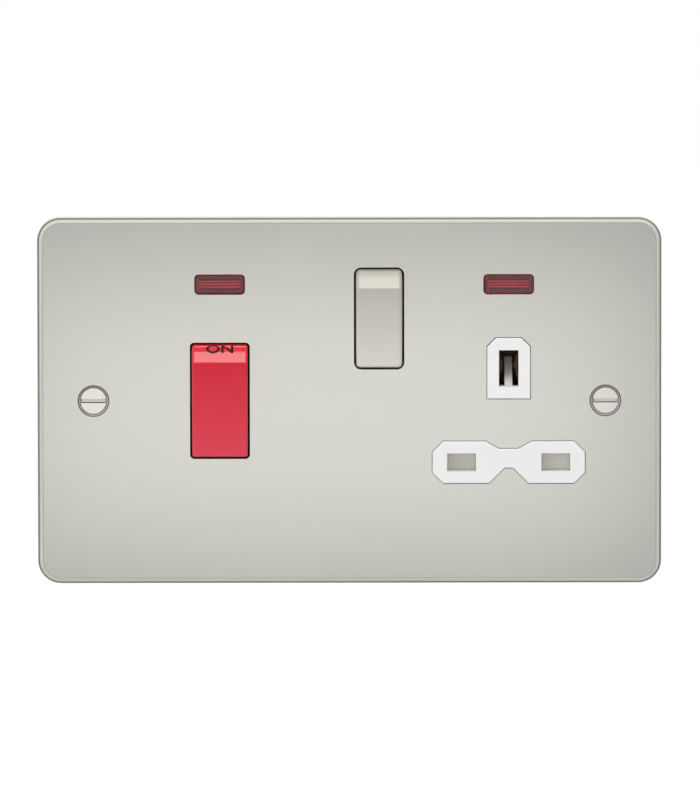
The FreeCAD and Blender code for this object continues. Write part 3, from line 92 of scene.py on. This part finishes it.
def add_node(tree, kind, sockets=None, **settings):
    """Add a node, set its properties, and set or link its input sockets."""
    item = tree.nodes.new(kind)
    for name, value in settings.items():
        setattr(item, name, value)
    for name, value in (sockets or {}).items():
        if isinstance(value, bpy.types.NodeSocket):
            tree.links.new(value, item.inputs[name])
        else:
            item.inputs[name].default_value = value
    return item


def new_material(name, sockets):
    """A material with one Principled shader whose plain sockets are set here."""
    material = bpy.data.materials.new(name)
    material.use_nodes = True
    shader = material.node_tree.nodes["Principled BSDF"]
    for socket, value in sockets.items():
        shader.inputs[socket].default_value = value
    return material, material.node_tree, shader


def per_mm(size):
    """The scale that repeats a pattern about once in a size given in millimetres."""
    return 1 / (size * MM)


def uneven_gloss(tree, shader, size, rough):
    """Let the roughness drift between two values over patches of a size. Gives back the place on
    the surface and the cloud that it follows."""
    where = add_node(tree, "ShaderNodeTexCoord").outputs["Object"]
    cloud = add_node(tree, "ShaderNodeTexNoise",
                     {"Vector": where, "Scale": per_mm(size), "Detail": 4.0}).outputs["Fac"]
    spread = add_node(tree, "ShaderNodeMapRange",
                      {"Value": cloud, "To Min": rough[0], "To Max": rough[1]})
    tree.links.new(spread.outputs["Result"], shader.inputs["Roughness"])
    return where, cloud


def shade_between(tree, shader, share, first, last):
    """Colour a surface from one tone to another as a share goes from none to all."""
    tones = add_node(tree, "ShaderNodeValToRGB", {"Fac": share})
    for stop, colour in zip(tones.color_ramp.elements, (first, last)):
        stop.color = linear(colour)
    tree.links.new(tones.outputs["Color"], shader.inputs["Base Color"])


def mottle(tree, shader, size, light, dark, rough):
    """Cloud a surface: colour and roughness drift together over patches of a size."""
    where, cloud = uneven_gloss(tree, shader, size, rough)
    shade_between(tree, shader, cloud, dark, light)
    return where


def grain(tree, shader, where, size, height, stretch=(1, 1, 1)):
    """Raise a grain of a size and a height in millimetres, stretched along an axis. A grain that is
    too fine to show is given a coarser size than its own, and a comment there says so."""
    aim = add_node(tree, "ShaderNodeMapping", {"Vector": where, "Scale": stretch})
    noise = add_node(tree, "ShaderNodeTexNoise",
                     {"Vector": aim.outputs["Vector"], "Scale": per_mm(size), "Detail": 3.0})
    bump = add_node(tree, "ShaderNodeBump",
                    {"Height": noise.outputs["Fac"], "Distance": height * MM, "Strength": 1.0})
    tree.links.new(bump.outputs["Normal"], shader.inputs["Normal"])


def painted_light_foot(tree, shader, where, node, upper, lower):
    """Paint a rocker's face paler down towards its foot, as a painted light."""
    low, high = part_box(node)
    height = add_node(tree, "ShaderNodeSeparateXYZ", {"Vector": where}).outputs["Z"]
    rise = add_node(tree, "ShaderNodeMapRange",
                    {"Value": height, "From Min": low.z, "From Max": high.z})
    shade_between(tree, shader, rise.outputs["Result"], lower, upper)


def blend_in(tree, shader, share, values):
    """Turn some of a shader's sockets to other values where a share is one."""
    for socket, value in values.items():
        target = shader.inputs[socket]
        blend = add_node(tree, "ShaderNodeMix", {"Factor": share},
                         data_type="RGBA" if socket == "Base Color" else "FLOAT")
        ends = [item for item in blend.inputs if item.enabled and item.name in ("A", "B")]
        if target.is_linked:
            tree.links.new(target.links[0].from_socket, ends[0])
        else:
            ends[0].default_value = target.default_value
        ends[1].default_value = value
        tree.links.new([item for item in blend.outputs if item.enabled][0], target)


def length_ramp(tree, length, start, reach, stops):
    """Read a ramp of shares along a length: places in millimetres past a start, within a reach."""
    part = add_node(tree, "ShaderNodeMapRange",
                    {"Value": length, "From Min": start, "From Max": start + reach * MM})
    ramp = add_node(tree, "ShaderNodeValToRGB", {"Fac": part.outputs["Result"]})
    marks = ramp.color_ramp.elements
    while len(marks) < len(stops):
        marks.new(1.0)
    for mark, (place, share) in zip(marks, stops):
        mark.position = place / reach
        mark.color = linear(share)
    return ramp.outputs["Color"]


def depth_ramp(tree, where, start, reach, stops):
    """Read a ramp of shares along Y, by how far a point lies behind a plane."""
    depth = add_node(tree, "ShaderNodeSeparateXYZ", {"Vector": where}).outputs["Y"]
    return length_ramp(tree, depth, start, reach, stops)


def shade_behind_plate(tree, shader, where, colour):
    """Show a rocker's plain matt moulding behind the plate, in a dark colour that is painted shade,
    so its flanks stay dark in the gaps.
    """
    hidden = depth_ramp(tree, where, plate_front, reach=2.0, stops=((0.6, NONE), (1.2, FULL)))
    blend_in(tree, shader, hidden,
             {"Base Color": linear(colour), "Metallic": 0.0, "Roughness": 0.9})


def from_fixing(tree, where):
    """How far a point lies from the axis of the nearer fixing screw."""
    sides = add_node(tree, "ShaderNodeSeparateXYZ", {"Vector": where}).outputs
    outward = add_node(tree, "ShaderNodeMath", {0: sides["X"]}, operation="ABSOLUTE")
    across = add_node(tree, "ShaderNodeMath", {0: outward.outputs[0], 1: screw_x},
                      operation="SUBTRACT")
    spot = add_node(tree, "ShaderNodeCombineXYZ", {"X": across.outputs[0], "Z": sides["Z"]})
    radius = add_node(tree, "ShaderNodeVectorMath", {0: spot.outputs["Vector"]},
                      operation="LENGTH")
    return radius.outputs["Value"]


def pearl_nickel():
    """Bead-blasted, nickel-plated steel: a pale warm grey with a satin sheen. The rolled edges are
    duller, with a painted shade band where the sheet turns away, and each countersink carries
    painted shade rings."""
    countersink_edge = (3.9 * MM, 4.1 * MM)
    material, tree, shader = new_material("pearl_nickel_steel", {"Metallic": 0.85})
    where = mottle(tree, shader, size=40.0, light="d0cfc8", dark="cac9c1", rough=(0.2, 0.24))
    # The beads' pits, about 0.05 mm, are drawn coarser to show.
    grain(tree, shader, where, size=0.25, height=0.002)
    rolled = depth_ramp(tree, where, plate_front, reach=0.2, stops=((0.005, NONE), (0.04, FULL)))
    blend_in(tree, shader, rolled, {"Roughness": 0.6, "Metallic": 0.1})
    # Painted shade: a dark band on the rolled edge, from 0.26 to 0.95 mm behind the face, kept off
    # the screws.
    turned = depth_ramp(tree, where, plate_front, reach=2.0,
                        stops=((0.26, NONE), (0.38, FULL), (0.75, FULL), (0.95, NONE)))
    radius = from_fixing(tree, where)
    clear_of_screws = add_node(tree, "ShaderNodeMapRange",
                               {"Value": radius, "From Min": countersink_edge[0],
                                "From Max": countersink_edge[1]})
    painted_edge_shade = add_node(tree, "ShaderNodeMath", {0: turned, 1: clear_of_screws.outputs["Result"]},
                    operation="MULTIPLY")
    blend_in(tree, shader, painted_edge_shade.outputs[0], {"Base Color": linear("7c7b75")})
    # Painted shade: dark rings with a light ring between them across each countersink, round the
    # screw head.
    countersink_painted_shade = length_ramp(tree, radius, start=3.0 * MM, reach=1.0,
                              stops=((0.2, THIRD), (0.46, FIFTH), (0.54, FULL), (0.69, FULL),
                                     (0.78, NONE)))
    blend_in(tree, shader, countersink_painted_shade, {"Base Color": linear("4d4a40")})
    return material


def plated_rocker():
    """A moulded rocker lacquered to match the plate, a little warmer and duller, with painted light
    making its face paler towards the foot. Its black moulding is bare behind the plate, partly its
    own colour and partly painted shade in the gaps."""
    material, tree, shader = new_material("satin_nickel_lacquer", {"Metallic": 0.3})
    where = uneven_gloss(tree, shader, size=9.0, rough=(0.52, 0.58))[0]
    # Painted light: the face grows paler towards its foot.
    painted_light_foot(tree, shader, where, "socket_rocker", upper="b6b3aa", lower="dfdcd4")
    # The lacquer's matting grit, under 0.05 mm, is drawn coarser to show.
    grain(tree, shader, where, size=0.2, height=0.002)
    # Bare black moulding behind the plate, partly painted shade in the gaps.
    shade_behind_plate(tree, shader, where, "151413")
    return material


def bright_screw():
    """Nickel-plated steel, machined and tumbled: a bright flat face and a duller bevel round it,
    the bevel darkened as a painted shade ring. The slot floor is painted lighter, as painted light,
    with painted shade along its lower side."""
    slot_shade_foot, slot_shade_top = -0.36 * MM, -0.28 * MM
    material, tree, shader = new_material("bright_nickel_screw", {"Metallic": 1.0})
    where = mottle(tree, shader, size=1.5, light="dedbd5", dark="d6d3cc", rough=(0.18, 0.24))
    # The tool's fine lines are drawn coarser to show.
    grain(tree, shader, where, size=0.12, height=0.003, stretch=(0.15, 1, 1))
    # Painted shade: the bevel is darkened into a dark ring round the face, on top of its duller
    # finish.
    shaded_bevel = depth_ramp(tree, where, screw_face, reach=1.0,
                       stops=((0.02, NONE), (0.06, FULL), (0.55, FULL), (0.62, NONE)))
    blend_in(tree, shader, shaded_bevel,
             {"Base Color": linear("716d61"), "Metallic": 0.1, "Roughness": 0.7})
    # Painted light: the slot floor is painted lighter than the face.
    slot_floor = depth_ramp(tree, where, screw_face, reach=1.0, stops=((0.55, NONE), (0.62, FULL)))
    blend_in(tree, shader, slot_floor, {"Base Color": linear("e6e4da"), "Roughness": 0.4})
    # Painted shade: a dark line along the slot floor's lower side.
    height = add_node(tree, "ShaderNodeSeparateXYZ", {"Vector": where}).outputs["Z"]
    low_down = add_node(tree, "ShaderNodeMapRange",
                        {"Value": height, "From Min": slot_shade_foot, "From Max": slot_shade_top,
                         "To Min": 1.0, "To Max": 0.0})
    slot_painted_shade = add_node(tree, "ShaderNodeMath", {0: slot_floor, 1: low_down.outputs["Result"]},
                     operation="MULTIPLY")
    blend_in(tree, shader, slot_painted_shade.outputs[0], {"Base Color": linear("5f5c53")})
    return material


def zinc_screw():
    """Zinc-plated steel: cooler and duller than nickel, with a faint blue passivation."""
    material, tree, shader = new_material("zinc_plated_steel", {"Metallic": 1.0})
    where = mottle(tree, shader, size=1.2, light="c9ccd0", dark="aeb2b8", rough=(0.28, 0.42))
    # The plating's crystals are drawn coarser to show.
    grain(tree, shader, where, size=0.15, height=0.006)
    return material


def red_urea():
    """Urea moulding in signal red: hard, with a soft gloss and a faint ripple from the mould."""
    material, tree, shader = new_material("red_urea_moulding", {"IOR": 1.46})
    where = uneven_gloss(tree, shader, size=14.0, rough=(0.2, 0.25))[0]
    # Painted light: the face grows paler towards its foot.
    painted_light_foot(tree, shader, where, "cooker_rocker", upper="d80f2a", lower="e64055")
    grain(tree, shader, where, size=2.5, height=0.002)
    # Painted shade: the red turns dark behind the plate, in the gaps round the rocker.
    shade_behind_plate(tree, shader, where, "5a0d16")
    return material


def white_urea():
    """White urea moulding: bright, cool and faintly glossy."""
    material, tree, shader = new_material("white_urea_moulding", {"IOR": 1.58})
    where = mottle(tree, shader, size=12.0, light="f6f6f6", dark="f2f2f1", rough=(0.28, 0.36))
    grain(tree, shader, where, size=1.2, height=0.003)
    return material


def white_base():
    """The base's white thermoset: duller, slightly cream, with a spark-eroded mould texture."""
    material, tree, shader = new_material("cream_thermoset_base", {"IOR": 1.55})
    where = mottle(tree, shader, size=18.0, light="eae8e1", dark="e2dfd6", rough=(0.42, 0.55))
    grain(tree, shader, where, size=0.35, height=0.012)
    return material


def red_lens():
    """Tinted polycarbonate: deep red where it is thick, its ribs softly seen through the face."""
    material, tree, shader = new_material("red_tinted_polycarbonate",
                                          {"IOR": 1.585, "Transmission Weight": 1.0})
    where = mottle(tree, shader, size=3.0, light="de4059", dark="d5364f", rough=(0.12, 0.16))
    grain(tree, shader, where, size=1.0, height=0.002)
    return material


def brass():
    """Stamped brass strip: yellow, with a brushed rolling direction and dull tarnish patches."""
    material, tree, shader = new_material("rolled_brass", {"Metallic": 1.0})
    where = mottle(tree, shader, size=6.0, light="d9b66a", dark="b68f49", rough=(0.24, 0.4))
    # The rolling lines are drawn coarser to show.
    grain(tree, shader, where, size=0.18, height=0.004, stretch=(0.1, 1, 1))
    return material


def shaded_contact_bronze():
    """Phosphor bronze of the pin clips: browner than the brass strips, and painted darker as
    painted shade, for the shade deep in the pin holes.
    """
    material, tree, shader = new_material("phosphor_bronze_clip_painted_shade", {"Metallic": 1.0})
    # Painted shade: the brown tones are kept dark for the shade in the pin holes.
    where = mottle(tree, shader, size=3.0, light="7d5f45", dark="5a4331", rough=(0.36, 0.5))
    # The rolling lines are drawn coarser to show.
    grain(tree, shader, where, size=0.18, height=0.004, stretch=(0.1, 1, 1))
    return material


def acetal():
    """Acetal of the sliding shutter: a warm greyish white, waxy rather than glossy."""
    material, tree, shader = new_material("acetal_shutter", {"IOR": 1.48})
    where = mottle(tree, shader, size=6.0, light="f0ede5", dark="e9e5db", rough=(0.4, 0.5))
    grain(tree, shader, where, size=0.5, height=0.004)
    return material


def spring_wire():
    """Drawn stainless wire: bright grey with a fine tooth from the die."""
    material, tree, shader = new_material("drawn_spring_wire", {"Metallic": 1.0})
    where = mottle(tree, shader, size=1.0, light="c4c4c6", dark="a2a2a6", rough=(0.2, 0.34))
    # The die's tooth is drawn coarser to show.
    grain(tree, shader, where, size=0.1, height=0.003)
    return material


def nylon():
    """Natural nylon: milky, soft sheen, light seen a little way in."""
    material, tree, shader = new_material("natural_nylon",
                                          {"IOR": 1.53, "Subsurface Weight": 0.2,
                                           "Subsurface Scale": 1.0 * MM})
    where = mottle(tree, shader, size=5.0, light="ebe6d8", dark="dfd8c6", rough=(0.35, 0.45))
    grain(tree, shader, where, size=0.6, height=0.004)
    return material


def lamp_glass():
    """Soda glass of a small neon lamp: clear, with a trace of orange from gas and electrodes."""
    material, tree, shader = new_material("neon_lamp_glass",
                                          {"IOR": 1.52, "Transmission Weight": 0.6})
    where = mottle(tree, shader, size=4.0, light="f2d9cd", dark="e6c3b2", rough=(0.04, 0.1))
    grain(tree, shader, where, size=2.0, height=0.003)
    return material


def resistor_lacquer():
    """Lacquered carbon-film resistor: tan with a slight orange-peel gloss."""
    material, tree, shader = new_material("resistor_lacquer", {"IOR": 1.5})
    where = mottle(tree, shader, size=2.0, light="cda778", dark="b98f5f", rough=(0.22, 0.32))
    grain(tree, shader, where, size=0.5, height=0.01)
    return material


def tinned_wire():
    """Tinned copper wire: soft silver with dull spots."""
    material, tree, shader = new_material("tinned_copper_wire", {"Metallic": 1.0})
    where = mottle(tree, shader, size=0.8, light="d8d6d0", dark="b9b6ae", rough=(0.25, 0.45))
    # The tin's crystals are drawn coarser to show.
    grain(tree, shader, where, size=0.2, height=0.004)
    return material


def black_ink():
    """Pad-printed black ink: thin, matt, slightly uneven in cover."""
    material, tree, shader = new_material("pad_printed_ink",
                                          {"IOR": 1.48, "Specular IOR Level": 0.15})
    where = mottle(tree, shader, size=0.5, light="1d1512", dark="140f0d", rough=(0.6, 0.72))
    # The pad's pinholes are drawn coarser to show.
    grain(tree, shader, where, size=0.1, height=0.003)
    return material


FINISHES = {
    "steel": pearl_nickel(),
    "screw_steel": zinc_screw(),
    "white_moulding": white_urea(),
    "base_moulding": white_base(),
    "red_rocker": red_urea(),
    "metal_rocker": plated_rocker(),
    "red_lens": red_lens(),
    "lamp_glass": lamp_glass(),
    "resistor": resistor_lacquer(),
    "copper_lead": tinned_wire(),
    "brass": brass(),
    "spring_steel": spring_wire(),
    "plunger_nylon": nylon(),
}
SHADED_CLIP_FINISH = shaded_contact_bronze()
OWN_FINISH = {
    "fixing_screws": bright_screw(),
    "shutter": acetal(),
    "live_contact": SHADED_CLIP_FINISH,
    "neutral_contact": SHADED_CLIP_FINISH,
    "earth_contact": SHADED_CLIP_FINISH,
}
INK = black_ink()


def finish_nodes():
    """Give each solid the finish of its slot, or its own where one slot holds two finishes."""
    for row in frame["record"]["subparts"]:
        finish = OWN_FINISH.get(row["node"], FINISHES[row["material_slot"]])
        for place in nodes[row["node"]].material_slots:
            place.material = finish


def add_piece(name, shape, finish):
    """Make a scene piece of a finished shape, at the origin, with one finish."""
    mesh = bpy.data.meshes.new(name)
    shape.to_mesh(mesh)
    shape.free()
    mesh.materials.append(finish)
    piece = bpy.data.objects.new(name, mesh)
    bpy.context.scene.collection.objects.link(piece)
    return piece


def surface_of(node):
    """A search tree over a solid's faces, in the part's frame."""
    solid = nodes[node]
    points = [solid.matrix_world @ corner.co for corner in solid.data.vertices]
    return BVHTree.FromPolygons(points, [face.vertices for face in solid.data.polygons])


def on_mark():
    """The word on the red rocker's crest: flat lettering cut into narrow strips, each point dropped
    on the round along the crest's own slope, to lie a thin film proud of it."""
    letter_width, letter_height = 6.4 * MM, 2.6 * MM
    below_top = 1.0 * MM
    slope = math.radians(50)
    film = 0.015 * MM
    start_off = 5 * MM
    strips = 14
    stroke_gain, seam = 0.022, 1e-5
    curve = bpy.data.curves.new("letters", "FONT")
    curve.body = "ON"
    curve.align_x, curve.align_y = "CENTER", "CENTER"
    curve.offset = stroke_gain
    flat = bpy.data.meshes.new_from_object(bpy.data.objects.new("letters", curve))
    shape = bmesh.new()
    shape.from_mesh(flat)
    bmesh.ops.remove_doubles(shape, verts=shape.verts, dist=seam)
    low = [min(corner.co[i] for corner in shape.verts) for i in (0, 1)]
    high = [max(corner.co[i] for corner in shape.verts) for i in (0, 1)]
    middle = Vector(((low[0] + high[0]) / 2, (low[1] + high[1]) / 2, 0))
    bmesh.ops.translate(shape, verts=shape.verts, vec=-middle)
    bmesh.ops.scale(shape, verts=shape.verts,
                    vec=(letter_width / (high[0] - low[0]),
                         letter_height / (high[1] - low[1]), 1))
    for step in range(1, strips):
        bmesh.ops.bisect_plane(shape, geom=shape.verts[:] + shape.edges[:] + shape.faces[:],
                               plane_co=(0, letter_height * (step / strips - 0.5), 0),
                               plane_no=(0, 1, 0))
    rocker_low, rocker_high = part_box("cooker_rocker")
    surface = surface_of("cooker_rocker")
    out = Vector((0, -math.cos(slope), math.sin(slope)))
    up = Vector((0, math.sin(slope), math.cos(slope)))
    in_front = Vector(((rocker_low.x + rocker_high.x) / 2, -1.0, rocker_high.z - below_top))
    spot = surface.ray_cast(in_front, Vector((0, 1, 0)))[0]
    for corner in shape.verts:
        start = spot + Vector((corner.co.x, 0, 0)) + up * corner.co.y + out * start_off
        point, normal = surface.ray_cast(start, -out)[:2]
        corner.co = point + normal * film
    piece = add_piece("on_mark", shape, INK)
    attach(piece, "cooker_rocker")


def shutter_coil():
    """The shutter's spring: a smooth-shaded copy of its solid in the part's frame, with the solid
    itself hidden."""
    seam = 0.0005 * MM
    wire = bmesh.new()
    wire.from_mesh(nodes["shutter_spring"].data)
    bmesh.ops.remove_doubles(wire, verts=wire.verts, dist=seam)
    for face in wire.faces:
        face.smooth = True
    piece = add_piece("shutter_coil", wire, FINISHES["spring_steel"])
    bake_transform(piece)
    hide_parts("shutter_spring")


def camera():
    """The photograph's view: far off, square to the plate from a little above, turned a hair."""
    image_width = 700
    pixels_per_mm = 4.247
    distance = 2.6
    elevation = math.radians(5.0)
    roll = math.radians(0.08)
    target = Vector((0.13 * MM, plate_front, 0.17 * MM))
    view = bpy.data.objects.new("camera", bpy.data.cameras.new("camera"))
    bpy.context.scene.collection.objects.link(view)
    bpy.context.scene.camera = view
    view.data.sensor_fit = "HORIZONTAL"
    view.data.sensor_width = 36.0
    view.data.lens = view.data.sensor_width * distance / (image_width / pixels_per_mm * MM)
    back = Vector((0, -math.cos(elevation), math.sin(elevation)))
    turn = back.to_track_quat("Z", "Y").to_matrix().to_4x4() @ Matrix.Rotation(-roll, 4, "Z")
    view.matrix_world = Matrix.Translation(target + back * distance) @ turn


# Soft rectangular lamps that shine at the part: place, size and power.
PANELS = {
    "high_strip": ((0.03, -0.57, 0.71), (0.56, 0.34), 4.0),
    "rear_panel": ((0.35, 0.8, 0.45), (0.8, 0.6), 4.0),
    "side_panel": ((-0.75, -0.6, 0.15), (0.6, 0.8), 1.3),
    # Mirrored in the plate, this one brightens its middle.
    "front_panel": ((-0.008, -0.37, -0.0349), (0.185, 0.08), 0.0441),
}


def panels():
    """Hang the lamps, each turned to the part's origin."""
    for name, (place, size, power) in PANELS.items():
        lamp = bpy.data.lights.new(name, "AREA")
        lamp.shape = "RECTANGLE"
        lamp.size, lamp.size_y = size
        lamp.energy = power
        item = bpy.data.objects.new(name, lamp)
        bpy.context.scene.collection.objects.link(item)
        place = Vector(place)
        turn = place.to_track_quat("Z", "Y").to_matrix().to_4x4()
        item.matrix_world = Matrix.Translation(place) @ turn


def looked_at(tree, place, near, far):
    """One where a ray shows the surround: to the eye, through glass, and in a mirror that looks
    aside. A mirror that faces the user looks at the room behind them instead, from near to far
    along Y."""
    rays = add_node(tree, "ShaderNodeLightPath").outputs
    along = add_node(tree, "ShaderNodeSeparateXYZ", {"Vector": place}).outputs["Y"]
    aside = add_node(tree, "ShaderNodeMapRange",
                     {"Value": along, "From Min": far, "From Max": near})
    mirrored = add_node(tree, "ShaderNodeMath",
                        {0: rays["Is Glossy Ray"], 1: aside.outputs["Result"]},
                        operation="MULTIPLY")
    direct = add_node(tree, "ShaderNodeMath",
                      {0: rays["Is Camera Ray"], 1: rays["Is Transmission Ray"]},
                      operation="MAXIMUM")
    either = add_node(tree, "ShaderNodeMath", {0: direct.outputs[0], 1: mirrored.outputs[0]},
                      operation="MAXIMUM")
    return either.outputs[0]


def surround():
    """A white surround, dimmer for the light it gives and in the room behind the user."""
    light_level, white = 0.53, 1.0
    world = bpy.data.worlds.new("surround")
    bpy.context.scene.world = world
    world.use_nodes = True
    tree = world.node_tree
    direction = add_node(tree, "ShaderNodeTexCoord").outputs["Generated"]
    seen = looked_at(tree, direction, near=-0.86, far=-0.97)
    level = add_node(tree, "ShaderNodeMapRange",
                     {"Value": seen, "To Min": light_level, "To Max": white})
    background = tree.nodes["Background"]
    background.inputs["Color"].default_value = linear("ffffff")
    tree.links.new(level.outputs["Result"], background.inputs["Strength"])


def stage():
    """A pale floor that keeps a soft shadow and runs white into the surround."""
    below_part = 300 * MM
    half_width = 6.0
    glow_level = 0.66
    shape = bmesh.new()
    bmesh.ops.create_grid(shape, x_segments=1, y_segments=1, size=half_width)
    bmesh.ops.translate(shape, verts=shape.verts, vec=(0, 0, cad_box[0][2] - below_part))
    material, tree, shader = new_material("white_floor",
                                          {"Base Color": linear("d8d8d8"), "Roughness": 0.9,
                                           "Emission Color": linear("ffffff")})
    place = add_node(tree, "ShaderNodeTexCoord").outputs["Object"]
    seen = looked_at(tree, place, near=-0.2, far=-0.8)
    glow = add_node(tree, "ShaderNodeMath", {0: seen, 1: glow_level}, operation="MULTIPLY")
    tree.links.new(glow.outputs[0], shader.inputs["Emission Strength"])
    add_piece("floor", shape, material)


finish_nodes()
camera()
surround()
stage()
bpy.context.scene.view_settings.view_transform = "Standard"
on_mark()
shutter_coil()
panels()
